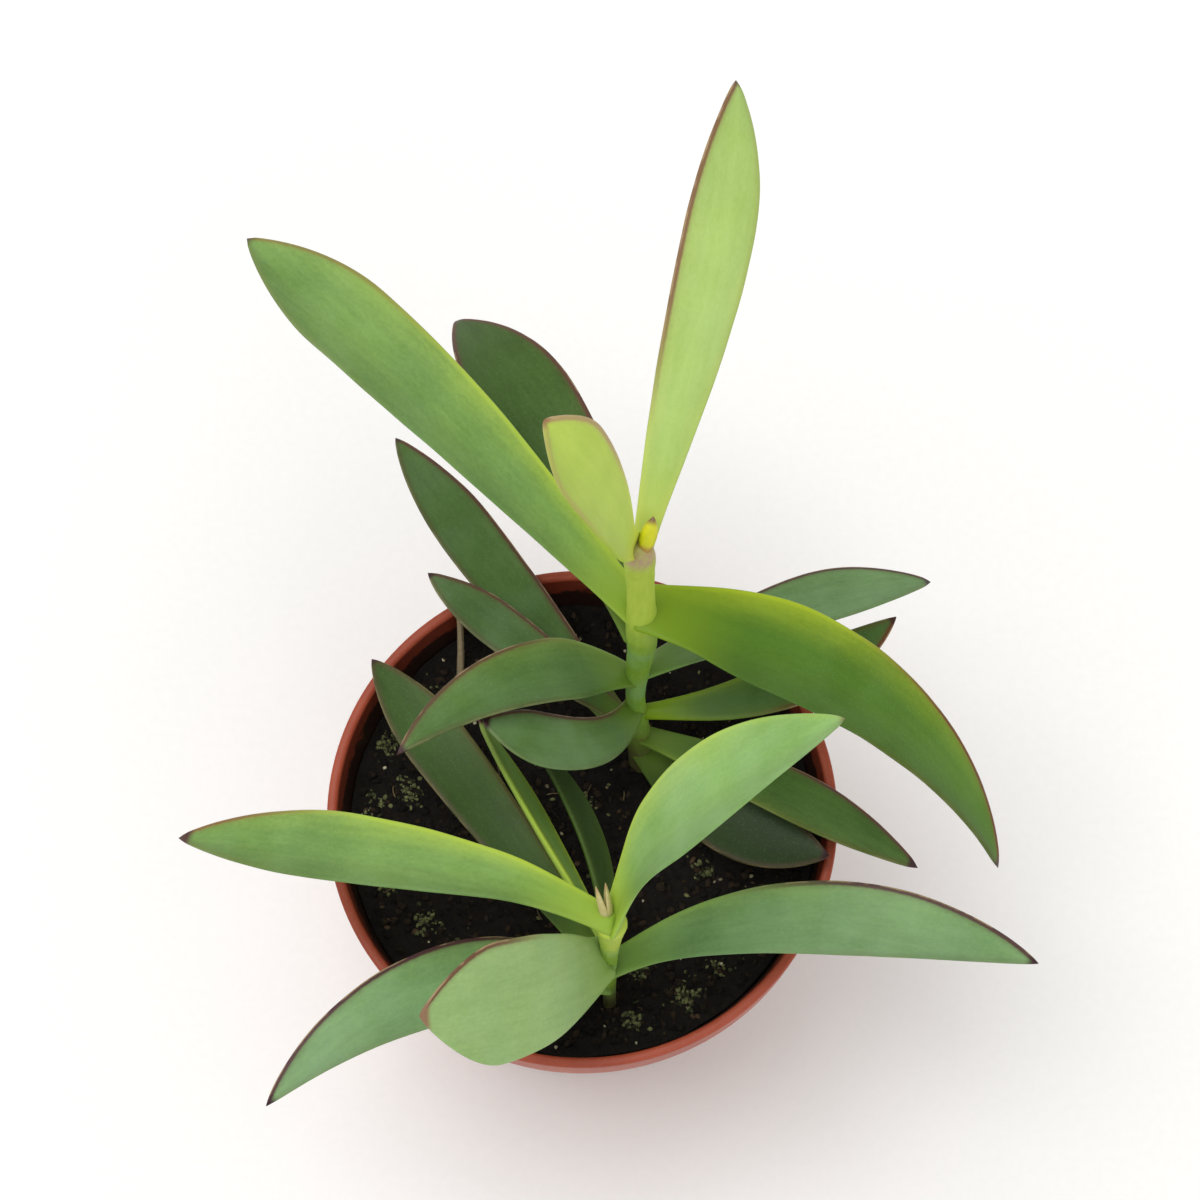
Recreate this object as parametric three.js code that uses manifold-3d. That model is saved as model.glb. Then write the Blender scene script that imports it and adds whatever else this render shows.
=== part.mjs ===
// Potted propeller plant: a young succulent with two shoots in a thin tapered
// nursery pot. Millimetres, +Z up, origin at the centre of the pot's underside.
// Seen from the front, +X is to the right and +Y is away.

import * as THREE from 'three';
import { mergeVertices } from 'three/addons/utils/BufferGeometryUtils.js';
import Module from 'manifold-3d';

const wasm = await Module();
wasm.setup();

// Neighbouring pieces stay this far apart.
const GAP = 0.3;

// The pot: a round, thin-walled, tapered pot with a collar below its rim, and
// drain holes in a ring about the solid middle of its floor.
const POT = {
  height: 58,
  rimRadius: 32.5,
  rimWidth: 1.3,
  rimRound: 0.35,
  collarHeight: 7,
  collarTaper: 0.5,
  collarStep: 0.9,
  baseRadius: 23,
  edgeCut: 0.6,
  wall: 1.2,
  floor: 1.6,
  sides: 48,
};
const DRAIN = { count: 6, radius: 2.6, ring: 14, length: 10, sides: 10 };

// The soil fills the pot to about a centimetre below the rim, and is banked up
// against the wall. It keeps a little further from the pot's wall, because both
// are many-sided.
const SOIL = {
  top: 48.5, bank: 2.6, bankReach: 9, rings: 10, sides: 36, swell: 0.45, ripple: 0.25, wallGap: 0.4,
};

// A shoot starts at a point of the soil and leans back as it rises. The leans
// are degrees off the vertical, towards +Y and towards -X. nodes are the
// heights along the stem at which its leaves grow.
const SHOOTS = {
  tall: {
    foot: [7.7, 9.2], length: 59.5, leanBack: 10, leanLeft: 0.9,
    depth: 20, lowRadius: 1.9, topRadius: 1.65,
    nodes: [5.7, 10.5, 17, 25.5, 37, 42.5, 57.5],
  },
  front: {
    foot: [3.5, -22.5], length: 38, leanBack: 9, leanLeft: 1.2,
    depth: 16, lowRadius: 1.6, topRadius: 1.35,
    nodes: [8, 13.5, 19, 36],
  },
};
const STEM = {
  sides: 12, step: 3, swell: 0.22, swellReach: 1.8, dome: 0.9, footShare: 0.5, domeShare: 0.55,
};

// What all leaves share. A leaf is marched from its base in equal steps. It
// bends later rather than sooner, is hollowed along the middle of its upper
// face, is thickest towards its base, and is flatter above than below.
const BLADE = {
  steps: 32,
  ringSteps: [0, 2, 5, 8, 11, 14, 17, 20, 23, 26, 28, 30, 31, 32],
  across: [-1, -0.55, 0, 0.55, 1],
  lateBend: 1.3,
  hollow: 0.12,
  baseShare: 0.38,
  baseCurve: 1.2,
  tipCurve: 0.8,
  halfMargin: 0.3,
  upperCrown: 0.2,
  lowerCrown: 0.75,
  tipThinning: 0.55,
  leastHalfWidth: 0.32,
  rootShare: 0.8,
};

// The leaves, from the top of each shoot down. up is the height along the
// stem. heading is the direction seen from above, from +X towards +Y, and rise
// the slope at the base. droop is how far the leaf bends down by its tip, and
// sickle how far it bends sideways, to the right as one looks along it. roll
// and twist turn it about its own length. widest is the share of its length at
// which it is widest. Lengths are in millimetres and angles in degrees.
const LEAVES = {
  leaf_tall_01: {
    shoot: 'tall', up: 57.5, heading: 74, rise: 43, length: 58.5, width: 8.5,
    droop: 65, sickle: 1, roll: -4, twist: 34, widest: 0.65, baseShare: 0.3, tone: 'young',
  },
  leaf_tall_02: {
    shoot: 'tall', up: 58, heading: 215, rise: 86, length: 46.5, width: 9,
    droop: 20, sickle: 1, roll: -49, twist: -14, widest: 0.75, tone: 'young',
  },
  leaf_tall_03: {
    shoot: 'tall', up: 42.5, heading: 138, rise: 32, length: 64.5, width: 11.5,
    droop: 38, sickle: 7, roll: 12, twist: 2, widest: 0.75, tone: 'mature',
  },
  leaf_tall_04: {
    shoot: 'tall', up: 42.5, heading: -6, rise: -8, length: 59, width: 13,
    droop: 53, sickle: 36, roll: -10, twist: -1, widest: 0.3, baseShare: 0.5, tone: 'mature',
  },
  leaf_tall_05: {
    shoot: 'tall', up: 37, heading: 112, rise: 19, length: 52.5, width: 12,
    droop: 68, sickle: -7, roll: 4, twist: 2, widest: 0.6, tone: 'old',
  },
  leaf_tall_06: {
    shoot: 'tall', up: 26, heading: 180, rise: 37, length: 35, width: 9,
    droop: 42, sickle: -37, roll: 18, twist: 9, widest: 0.3, tone: 'old',
  },
  leaf_tall_07: {
    shoot: 'tall', up: 25, heading: 27, rise: 13, length: 37.5, width: 9.5,
    droop: 36, sickle: 0, roll: -31, twist: -1, widest: 0.6, tone: 'old',
  },
  leaf_tall_08: {
    shoot: 'tall', up: 16, heading: -2, rise: 9, length: 34, width: 6.5,
    droop: 21, sickle: -43, roll: 10, twist: -1, widest: 0.6, baseShare: 0.32, tone: 'old',
  },
  leaf_tall_09: {
    shoot: 'tall', up: 18.3, heading: 244, rise: 39, length: 28, width: 8,
    droop: 4, sickle: 70, roll: -21, twist: -7, widest: 0.7, tone: 'old',
  },
  leaf_tall_10: {
    shoot: 'tall', up: 12, heading: 155, rise: 27, length: 32.5, width: 6.5,
    droop: 35, sickle: 25, roll: 10, twist: 1, widest: 0.65, tone: 'old',
  },
  leaf_tall_11: {
    shoot: 'tall', up: 9.5, heading: -27, rise: 15, length: 38, width: 8.5,
    droop: 25, sickle: -9, roll: -25, twist: -5, widest: 0.55, tone: 'old',
  },
  leaf_tall_12: {
    shoot: 'tall', up: 6, heading: 137, rise: 26, length: 51, width: 8,
    droop: 40, sickle: 22, roll: 8, twist: 1, widest: 0.65, tone: 'old',
  },
  leaf_tall_13: {
    shoot: 'tall', up: 5.5, heading: -55, rise: 18, length: 28.5, width: 9,
    droop: 12, sickle: -40, roll: 7, twist: 2, widest: 0.6, tone: 'old',
  },
  leaf_front_01: {
    shoot: 'front', up: 36, heading: 168, rise: 5, length: 54, width: 9.5,
    droop: 38, sickle: 7, roll: 15, twist: 1, widest: 0.6, tone: 'mature',
  },
  leaf_front_02: {
    shoot: 'front', up: 36, heading: 45, rise: 63, length: 44.5, width: 12,
    droop: 40, sickle: 3, roll: -39, twist: -4, widest: 0.5, tone: 'mature',
  },
  leaf_front_03: {
    shoot: 'front', up: 21, heading: 117, rise: -9, length: 32, width: 6,
    droop: -2, sickle: -13, roll: 66, twist: -2, widest: 0.6, tone: 'mature',
  },
  leaf_front_04: {
    shoot: 'front', up: 17, heading: 90, rise: -6, length: 29.5, width: 6,
    droop: 34, sickle: -29, roll: 55, twist: 1, widest: 0.55, tone: 'old',
  },
  leaf_front_05: {
    shoot: 'front', up: 13, heading: 129, rise: 13, length: 49, width: 8,
    droop: 28, sickle: 5, roll: 3, twist: -1, widest: 0.7, tone: 'old',
  },
  leaf_front_06: {
    shoot: 'front', up: 19, heading: 234, rise: 61, length: 36.5, width: 14.5,
    droop: 44, sickle: 2, roll: -53, twist: -2, widest: 0.7, baseShare: 0.4, tone: 'grey',
  },
  leaf_front_07: {
    shoot: 'front', up: 14, heading: 19, rise: 38, length: 55.5, width: 9,
    droop: 52, sickle: 39, roll: -9, twist: 5, widest: 0.55, tone: 'grey',
  },
  leaf_front_08: {
    shoot: 'front', up: 8, heading: 173, rise: 30, length: 48, width: 10,
    droop: 49, sickle: -50, roll: 16, twist: -1, widest: 0.35, tone: 'grey',
  },
};

// Each shoot ends in a closed bud of its next pair of leaves. offset is from
// the top of the stem, lean is towards +X, and leanBack towards +Y.
const BUD_PROFILE = [[0, 0], [0.55, 0], [0.95, 0.18], [1, 0.38], [0.78, 0.65], [0.4, 0.88], [0, 1]];
const BUD_SIDES = 10;
const BUDS = {
  bud_tall: { shoot: 'tall', offset: [0.6, 0.1], length: 4.8, radius: 0.9, lean: 12, leanBack: 40 },
  bud_front: { shoot: 'front', offset: [-0.2, 0.1], length: 4.2, radius: 0.8, lean: -14, leanBack: 9 },
};

// A withered stalk that stands in the soil near the wall, at the back left.
const STALK = {
  foot: [-16.1, 20], depth: 6, length: 11.4, radius: 0.5, topRadius: 0.35, sides: 8, leanBack: 30,
};

const COLOURS = {
  pot: '#b8533b',
  soil: '#1d1813',
  stem: '#8fb55a',
  young: '#b4cf6c',
  mature: '#7fa653',
  old: '#4f7240',
  grey: '#7d9c70',
  budTall: '#d8cf2c',
  budFront: '#c6d19a',
  stalk: '#a08c6c',
};

const UP = new THREE.Vector3(0, 0, 1);

const radians = THREE.MathUtils.degToRad;

function material(colour, roughness) {
  return new THREE.MeshStandardMaterial({ color: colour, roughness, metalness: 0 });
}

// A closed mesh with its shared vertices merged, as a solid that can be cut.
function toSolid(geometry) {
  const plain = geometry.index ? geometry.toNonIndexed() : geometry.clone();
  plain.deleteAttribute('normal');
  plain.deleteAttribute('uv');
  const merged = mergeVertices(plain, 1e-4);
  return new wasm.Manifold(new wasm.Mesh({
    numProp: 3,
    vertProperties: new Float32Array(merged.attributes.position.array),
    triVerts: new Uint32Array(merged.index.array),
  }));
}

// The largest body of a cut solid, without any crumb that the cut leaves.
function toGeometry(solid) {
  const bodies = solid.decompose().sort((a, b) => b.volume() - a.volume());
  const mesh = bodies[0].getMesh();
  const geometry = new THREE.BufferGeometry();
  geometry.setAttribute('position', new THREE.BufferAttribute(new Float32Array(mesh.vertProperties), 3));
  geometry.setIndex(new THREE.BufferAttribute(new Uint32Array(mesh.triVerts), 1));
  geometry.computeVertexNormals();
  return geometry;
}

function piece(name, geometry, colour, roughness) {
  const mesh = new THREE.Mesh(geometry, material(colour, roughness));
  mesh.name = name;
  return mesh;
}

// A closed skin over rings of points that all have the same count: sides
// between neighbouring rings, and a fan on the first and on the last ring.
function skin(rings) {
  const count = rings[0].length;
  const points = rings.flat();
  const triangles = [];
  for (let i = 0; i + 1 < rings.length; i += 1) {
    for (let j = 0; j < count; j += 1) {
      const a = i * count + j;
      const b = i * count + ((j + 1) % count);
      triangles.push(a, b, b + count, a, b + count, a + count);
    }
  }
  const last = (rings.length - 1) * count;
  for (let j = 1; j + 1 < count; j += 1) {
    triangles.push(0, j + 1, j);
    triangles.push(last, last + j, last + j + 1);
  }
  const geometry = new THREE.BufferGeometry();
  geometry.setFromPoints(points);
  geometry.setIndex(triangles);
  return geometry.toNonIndexed();
}

// The pot's profile is turned about the vertical axis: up its outside, over
// the rim, down its inside and back to the middle of the floor.
function potWallRadius(z) {
  const under = POT.rimRadius - POT.collarTaper - POT.collarStep;
  const share = z / (POT.height - POT.collarHeight);
  return POT.baseRadius + (under - POT.baseRadius) * share;
}

function potInnerRadius(z) {
  const foot = POT.baseRadius - POT.wall;
  const share = (z - POT.floor) / (POT.height - POT.floor);
  return foot + (POT.rimRadius - POT.rimWidth - foot) * share;
}

function makePot() {
  const collarFoot = POT.height - POT.collarHeight;
  const collarRadius = POT.rimRadius - POT.collarTaper;
  const inner = POT.rimRadius - POT.rimWidth;
  const profile = [
    [0, 0],
    [POT.baseRadius - POT.edgeCut, 0],
    [POT.baseRadius, POT.edgeCut],
    [potWallRadius(collarFoot - POT.edgeCut), collarFoot - POT.edgeCut],
    [collarRadius, collarFoot],
    [POT.rimRadius, POT.height - POT.rimRound],
    [POT.rimRadius - POT.rimRound, POT.height],
    [inner + POT.rimRound, POT.height],
    [inner, POT.height - POT.rimRound],
    [POT.baseRadius - POT.wall, POT.floor],
    [0, POT.floor],
  ].map(([r, z]) => new THREE.Vector2(r, z));
  const turned = new THREE.LatheGeometry(profile, POT.sides).rotateX(Math.PI / 2);
  let solid = toSolid(turned);
  for (let i = 0; i < DRAIN.count; i += 1) {
    const angle = (2 * Math.PI * i) / DRAIN.count;
    const drill = new THREE.CylinderGeometry(DRAIN.radius, DRAIN.radius, DRAIN.length, DRAIN.sides);
    drill.rotateX(Math.PI / 2);
    drill.translate(DRAIN.ring * Math.cos(angle), DRAIN.ring * Math.sin(angle), 0);
    solid = solid.subtract(toSolid(drill));
  }
  return toGeometry(solid);
}

// The soil's radius at its banked-up edge.
function soilRadius() {
  return potInnerRadius(SOIL.top + SOIL.bank) - SOIL.wallGap;
}

// The soil's surface is gently uneven and rises towards the wall.
function soilHeight(x, y) {
  const swell = SOIL.swell * Math.sin(0.17 * x + 0.8) * Math.cos(0.14 * y - 0.4);
  const ripple = SOIL.ripple * Math.sin(0.61 * x - 0.47 * y + 1.1) * Math.cos(0.52 * y + 0.2);
  const nearness = Math.max(0, 1 - (soilRadius() - Math.hypot(x, y)) / SOIL.bankReach);
  return SOIL.top + swell + ripple + SOIL.bank * nearness ** 2;
}

function makeSoil(stems) {
  const low = POT.floor + GAP;
  const lowRadius = potInnerRadius(low) - SOIL.wallGap;
  const highRadius = soilRadius();
  const rings = [];
  const addRing = (radius, height) => {
    const ring = [];
    for (let j = 0; j < SOIL.sides; j += 1) {
      const angle = (2 * Math.PI * j) / SOIL.sides;
      const x = radius * Math.cos(angle);
      const y = radius * Math.sin(angle);
      ring.push(new THREE.Vector3(x, y, height ?? soilHeight(x, y)));
    }
    rings.push(ring);
  };
  addRing(lowRadius, low);
  for (let i = SOIL.rings; i > 0; i -= 1) {
    addRing((highRadius * i) / SOIL.rings);
  }
  let solid = toSolid(skin(rings));
  for (const stem of stems) {
    solid = solid.subtract(stem);
  }
  return toGeometry(solid);
}

// A shoot's axis is straight. Its directions are worked out once.
function shootAxis(shoot) {
  const way = new THREE.Vector3(
    -Math.tan(radians(shoot.leanLeft)),
    Math.tan(radians(shoot.leanBack)),
    1,
  ).normalize();
  const across = new THREE.Vector3(1, 0, 0).addScaledVector(way, -way.x).normalize();
  return { way, across, along: new THREE.Vector3().crossVectors(way, across) };
}

function shootPoint(shoot, up) {
  const foot = new THREE.Vector3(shoot.foot[0], shoot.foot[1], SOIL.top);
  return foot.addScaledVector(shootAxis(shoot).way, up);
}

// A stem tapers upwards and swells a little at each node.
function stemRadius(shoot, up) {
  const share = THREE.MathUtils.clamp(up / shoot.length, 0, 1);
  let radius = THREE.MathUtils.lerp(shoot.lowRadius, shoot.topRadius, share);
  for (const node of shoot.nodes) {
    radius += STEM.swell * Math.exp(-(((up - node) / STEM.swellReach) ** 2));
  }
  return radius;
}

function stemGeometry(shoot, extra) {
  const { across, along } = shootAxis(shoot);
  const rings = [];
  const addRing = (up, radius) => {
    const centre = shootPoint(shoot, up);
    const ring = [];
    for (let j = 0; j < STEM.sides; j += 1) {
      const angle = (2 * Math.PI * j) / STEM.sides;
      ring.push(centre.clone()
        .addScaledVector(across, radius * Math.cos(angle))
        .addScaledVector(along, radius * Math.sin(angle)));
    }
    rings.push(ring);
  };
  const count = Math.round((shoot.length + shoot.depth) / STEM.step);
  addRing(-shoot.depth - extra, STEM.footShare * shoot.lowRadius + extra);
  for (let i = 1; i <= count; i += 1) {
    const up = -shoot.depth + ((shoot.length + shoot.depth - STEM.dome) * i) / count;
    addRing(up, stemRadius(shoot, up) + extra);
  }
  addRing(shoot.length + extra, STEM.domeShare * shoot.topRadius + extra);
  return skin(rings);
}

// Half the width of a leaf at a share of its length, as a part of the widest.
function outline(leaf, share) {
  const baseShare = leaf.baseShare ?? BLADE.baseShare;
  if (share < leaf.widest) {
    const rise = Math.sin((Math.PI / 2) * (share / leaf.widest)) ** BLADE.baseCurve;
    return baseShare + (1 - baseShare) * rise;
  }
  const fall = (share - leaf.widest) / (1 - leaf.widest);
  return Math.max(Math.cos((Math.PI / 2) * fall), 0) ** BLADE.tipCurve;
}

// The march along a leaf: its middle line and, at each step, the directions
// along it, to its right and out of its upper face.
function march(leaf) {
  const shoot = SHOOTS[leaf.shoot];
  const heading = radians(leaf.heading);
  const rise = radians(leaf.rise);
  const away = new THREE.Vector3(Math.cos(heading), Math.sin(heading), 0);
  const forward = away.clone().multiplyScalar(Math.cos(rise)).addScaledVector(UP, Math.sin(rise));
  const right = new THREE.Vector3(Math.sin(heading), -Math.cos(heading), 0);
  const upper = new THREE.Vector3().crossVectors(right, forward);
  right.applyAxisAngle(forward, radians(leaf.roll));
  upper.applyAxisAngle(forward, radians(leaf.roll));
  const root = BLADE.rootShare * stemRadius(shoot, leaf.up);
  const point = shootPoint(shoot, leaf.up).addScaledVector(away, root);
  const stations = [{ share: 0, point: point.clone(), right: right.clone(), upper: upper.clone() }];
  for (let i = 1; i <= BLADE.steps; i += 1) {
    const before = (i - 1) / BLADE.steps;
    const share = i / BLADE.steps;
    const droop = radians(leaf.droop) * (share ** BLADE.lateBend - before ** BLADE.lateBend);
    const sickle = radians(leaf.sickle) / BLADE.steps;
    const twist = radians(leaf.twist) / BLADE.steps;
    forward.applyAxisAngle(right, -droop);
    upper.applyAxisAngle(right, -droop);
    forward.applyAxisAngle(upper, -sickle);
    right.applyAxisAngle(upper, -sickle);
    right.applyAxisAngle(forward, twist);
    upper.applyAxisAngle(forward, twist);
    point.addScaledVector(forward, leaf.length / BLADE.steps);
    stations.push({ share, point: point.clone(), right: right.clone(), upper: upper.clone() });
  }
  return stations;
}

// One closed ring round a leaf: across its upper face to the right, then back
// across its lower one.
function leafRing(leaf, station) {
  const half = Math.max(0.5 * leaf.width * outline(leaf, station.share), BLADE.leastHalfWidth);
  const full = (half / (0.5 * leaf.width)) ** 0.5 * (1 - BLADE.tipThinning * station.share);
  const at = (u, lift) => station.point.clone()
    .addScaledVector(station.right, u * half)
    .addScaledVector(station.upper, BLADE.hollow * half * u * u + lift);
  const crown = (u) => 1 - u * u;
  const lower = BLADE.across.map((u) => at(u, -BLADE.halfMargin - BLADE.lowerCrown * full * crown(u)));
  const upper = BLADE.across.map((u) => at(u, BLADE.halfMargin + BLADE.upperCrown * full * crown(u)));
  return [...upper, ...lower.reverse()];
}

function makeLeaf(leaf, stems) {
  const stations = march(leaf);
  const rings = BLADE.ringSteps.map((step) => leafRing(leaf, stations[step]));
  const whole = toSolid(skin(rings));
  return toGeometry(whole.subtract(stems[leaf.shoot]));
}

// A bud is a pointed spindle: a turned profile stood on the end of the stem.
function makeBud(bud, stems) {
  const shoot = SHOOTS[bud.shoot];
  const profile = BUD_PROFILE.map(([r, z]) => new THREE.Vector2(r * bud.radius, z * bud.length));
  const geometry = new THREE.LatheGeometry(profile, BUD_SIDES).rotateX(Math.PI / 2);
  const foot = shootPoint(shoot, shoot.length - STEM.dome);
  geometry.rotateY(radians(bud.lean));
  geometry.rotateX(-radians(bud.leanBack));
  geometry.translate(foot.x + bud.offset[0], foot.y + bud.offset[1], foot.z);
  return toGeometry(toSolid(geometry).subtract(stems[bud.shoot]));
}

function stalkGeometry(extra) {
  const height = STALK.depth + STALK.length + extra;
  const geometry = new THREE.CylinderGeometry(
    STALK.topRadius + extra, STALK.radius + extra, height, STALK.sides,
  );
  geometry.translate(0, height / 2 - STALK.depth - extra, 0);
  geometry.rotateX(Math.PI / 2 - radians(STALK.leanBack));
  return geometry.translate(STALK.foot[0], STALK.foot[1], SOIL.top);
}

const plant = new THREE.Group();

const fatStems = Object.fromEntries(
  Object.entries(SHOOTS).map(([name, shoot]) => [name, toSolid(stemGeometry(shoot, GAP))]),
);
const soilCutters = [...Object.values(fatStems), toSolid(stalkGeometry(GAP))];

plant.add(piece('pot', makePot(), COLOURS.pot, 0.55));
plant.add(piece('soil', makeSoil(soilCutters), COLOURS.soil, 0.95));
plant.add(piece('dry_stalk', stalkGeometry(0), COLOURS.stalk, 0.9));
for (const [name, shoot] of Object.entries(SHOOTS)) {
  plant.add(piece(`stem_${name}`, stemGeometry(shoot, 0), COLOURS.stem, 0.5));
}
for (const [name, leaf] of Object.entries(LEAVES)) {
  plant.add(piece(name, makeLeaf(leaf, fatStems), COLOURS[leaf.tone], 0.5));
}
plant.add(piece('bud_tall', makeBud(BUDS.bud_tall, fatStems), COLOURS.budTall, 0.5));
plant.add(piece('bud_front', makeBud(BUDS.bud_front, fatStems), COLOURS.budFront, 0.5));

export default plant;
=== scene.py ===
"""The looks of a young potted succulent: fine leaves, stems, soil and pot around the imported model."""

import math
from collections import namedtuple

import bmesh
import bpy
import numpy as np
from mathutils import Matrix, Vector, noise


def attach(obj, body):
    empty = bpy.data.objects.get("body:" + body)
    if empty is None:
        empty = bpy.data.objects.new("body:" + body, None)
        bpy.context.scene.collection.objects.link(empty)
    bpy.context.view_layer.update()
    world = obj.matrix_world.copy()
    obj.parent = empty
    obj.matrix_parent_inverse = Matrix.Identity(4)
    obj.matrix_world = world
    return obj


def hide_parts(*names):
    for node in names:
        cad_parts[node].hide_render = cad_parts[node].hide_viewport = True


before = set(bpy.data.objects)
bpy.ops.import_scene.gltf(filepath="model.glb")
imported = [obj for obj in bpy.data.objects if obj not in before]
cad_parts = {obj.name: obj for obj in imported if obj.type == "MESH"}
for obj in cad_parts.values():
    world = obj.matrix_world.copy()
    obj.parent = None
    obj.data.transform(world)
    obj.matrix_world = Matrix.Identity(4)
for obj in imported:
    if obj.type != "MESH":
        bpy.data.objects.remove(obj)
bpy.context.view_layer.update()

MM = 0.001
BODY = "root"

# Sizes in millimetres, as in the part's own source. The origin is the centre of
# the pot's underside, +X is to the right and +Y away from the viewer.
POT = dict(
    height=58, rim_radius=32.5, rim_width=1.3, collar_height=7, collar_taper=0.5,
    collar_step=0.9, base_radius=23, wall=1.2, floor=1.6,
)
DRAIN = dict(count=6, radius=2.6, ring=14)
SOIL = dict(top=48.5, bank=2.6, bank_reach=9, swell=0.45, ripple=0.25, wall_gap=0.15)
STALK = dict(foot=(-16.1, 20), depth=3, length=11.4, radius=0.5, lean_back=30)

# A shoot leans back (+Y) and left (-X), in degrees. nodes are the heights along
# its stem at which leaves grow.
SHOOTS = {
    "tall": dict(
        foot=(7.7, 9.2), length=59.5, lean_back=10, lean_left=0.9, depth=6,
        low_radius=1.9, top_radius=1.65, nodes=(5.7, 10.5, 17, 25.5, 37, 42.5, 57.5),
    ),
    "front": dict(
        foot=(3.5, -22.5), length=38, lean_back=9, lean_left=1.2, depth=6,
        low_radius=1.6, top_radius=1.35, nodes=(8, 13.5, 19, 36),
    ),
}
# These place the leaf roots: the part's own stem swells at each node, and a leaf
# starts at root_share of its radius.
STEM = dict(swell=0.22, swell_reach=1.8, root_share=0.8)

# The skin of each stem, in millimetres, from below the soil to its top. girth is
# (height, radius): below a pair of large leaves it is their sheath, which
# narrows downwards. bow is (height, right, back), the stem's slight bend.
SKINS = {
    "tall": dict(
        girth=(
            (-6, 1.6), (2, 1.65), (8, 1.6), (14, 1.4), (19, 1.25), (23, 1.3), (28, 1.5), (33, 1.8),
            (38, 2.0), (41.5, 2.0), (45, 1.75), (50, 1.65), (54, 1.75), (57, 1.9), (58.7, 1.6), (59.5, 1.2),
        ),
        bow=((-6, 0, 0), (0, 0, 0), (12, -0.5, 0), (20, -0.7, 0), (28, -0.3, 0), (36, 0.2, 0), (60, 0, 0)),
    ),
    "front": dict(
        girth=(
            (-6, 0.8), (2, 0.8), (8, 0.9), (14, 1.0), (20, 1.15), (26, 1.35), (31, 1.65), (34.5, 1.95),
            (35.5, 1.6), (36, 1.0),
        ),
        bow=((-6, 0, 0), (0, 0, 0), (10, 0.05, -0.05), (20, 0.3, -0.6), (30, 0.65, -1.8), (38, 1, -2.9)),
    ),
}

# The mesh of a skin and its marks. Nodes below low_share of its height have
# scars, its top is a dome, and the tall stem blushes near its top. A mark lies
# its drop below its place and fades over its reach.
SKIN = dict(
    sides=32, step=0.25, roughness=0.03, low_share=0.35, dome=0.9, blush_drop=0.9, blush_reach=1.3,
    scar_drop=0.5, scar_reach=0.3,
)

# The leaves, as in the part's source. Lengths are in millimetres and angles in
# degrees. widest is the share of the length at which a leaf is widest, and
# base its width at its base, as a share of its widest. tone ends its slot's name.
Leaf = namedtuple(
    "Leaf", "shoot up heading rise length width droop sickle roll twist widest base tone"
)
LEAVES = {
    "tall_01": Leaf("tall", 57.5, 74, 43, 58.5, 8.5, 65, 1, -4, 34, 0.65, 0.3, "young"),
    "tall_02": Leaf("tall", 58, 215, 86, 46.5, 9, 20, 1, -49, -14, 0.75, 0.38, "young"),
    "tall_03": Leaf("tall", 42.5, 138, 32, 64.5, 11.5, 38, 7, 12, 2, 0.75, 0.38, "mature"),
    "tall_04": Leaf("tall", 42.5, -6, -8, 59, 13, 53, 36, -10, -1, 0.3, 0.5, "mature"),
    "tall_05": Leaf("tall", 37, 112, 19, 52.5, 12, 68, -7, 4, 2, 0.6, 0.38, "old"),
    "tall_06": Leaf("tall", 26, 180, 37, 35, 9, 42, -37, 18, 9, 0.3, 0.38, "old"),
    "tall_07": Leaf("tall", 25, 27, 13, 37.5, 9.5, 36, 0, -31, -1, 0.6, 0.38, "old"),
    "tall_08": Leaf("tall", 16, -2, 9, 34, 6.5, 21, -43, 10, -1, 0.6, 0.32, "old"),
    "tall_09": Leaf("tall", 18.3, 244, 39, 28, 8, 4, 70, -21, -7, 0.7, 0.38, "old"),
    "tall_10": Leaf("tall", 12, 155, 27, 32.5, 6.5, 35, 25, 10, 1, 0.65, 0.38, "old"),
    "tall_11": Leaf("tall", 9.5, -27, 15, 38, 8.5, 25, -9, -25, -5, 0.55, 0.38, "old"),
    "tall_12": Leaf("tall", 6, 137, 26, 51, 8, 40, 22, 8, 1, 0.65, 0.38, "old"),
    "tall_13": Leaf("tall", 5.5, -55, 18, 28.5, 9, 12, -40, 7, 2, 0.6, 0.38, "old"),
    "front_01": Leaf("front", 36, 168, 5, 54, 9.5, 38, 7, 15, 1, 0.6, 0.38, "mature"),
    "front_02": Leaf("front", 36, 45, 63, 44.5, 12, 40, 3, -39, -4, 0.5, 0.38, "mature"),
    "front_03": Leaf("front", 21, 117, -9, 32, 6, -2, -13, 66, -2, 0.6, 0.38, "mature"),
    "front_04": Leaf("front", 17, 90, -6, 29.5, 6, 34, -29, 55, 1, 0.55, 0.38, "old"),
    "front_05": Leaf("front", 13, 129, 13, 49, 8, 28, 5, 3, -1, 0.7, 0.38, "old"),
    "front_06": Leaf("front", 19, 234, 61, 36.5, 14.5, 44, 2, -53, -2, 0.7, 0.4, "grey"),
    "front_07": Leaf("front", 14, 19, 38, 55.5, 9, 52, 39, -9, 5, 0.55, 0.38, "grey"),
    "front_08": Leaf("front", 8, 173, 30, 48, 10, 49, -50, 16, -1, 0.35, 0.38, "grey"),
}

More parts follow.
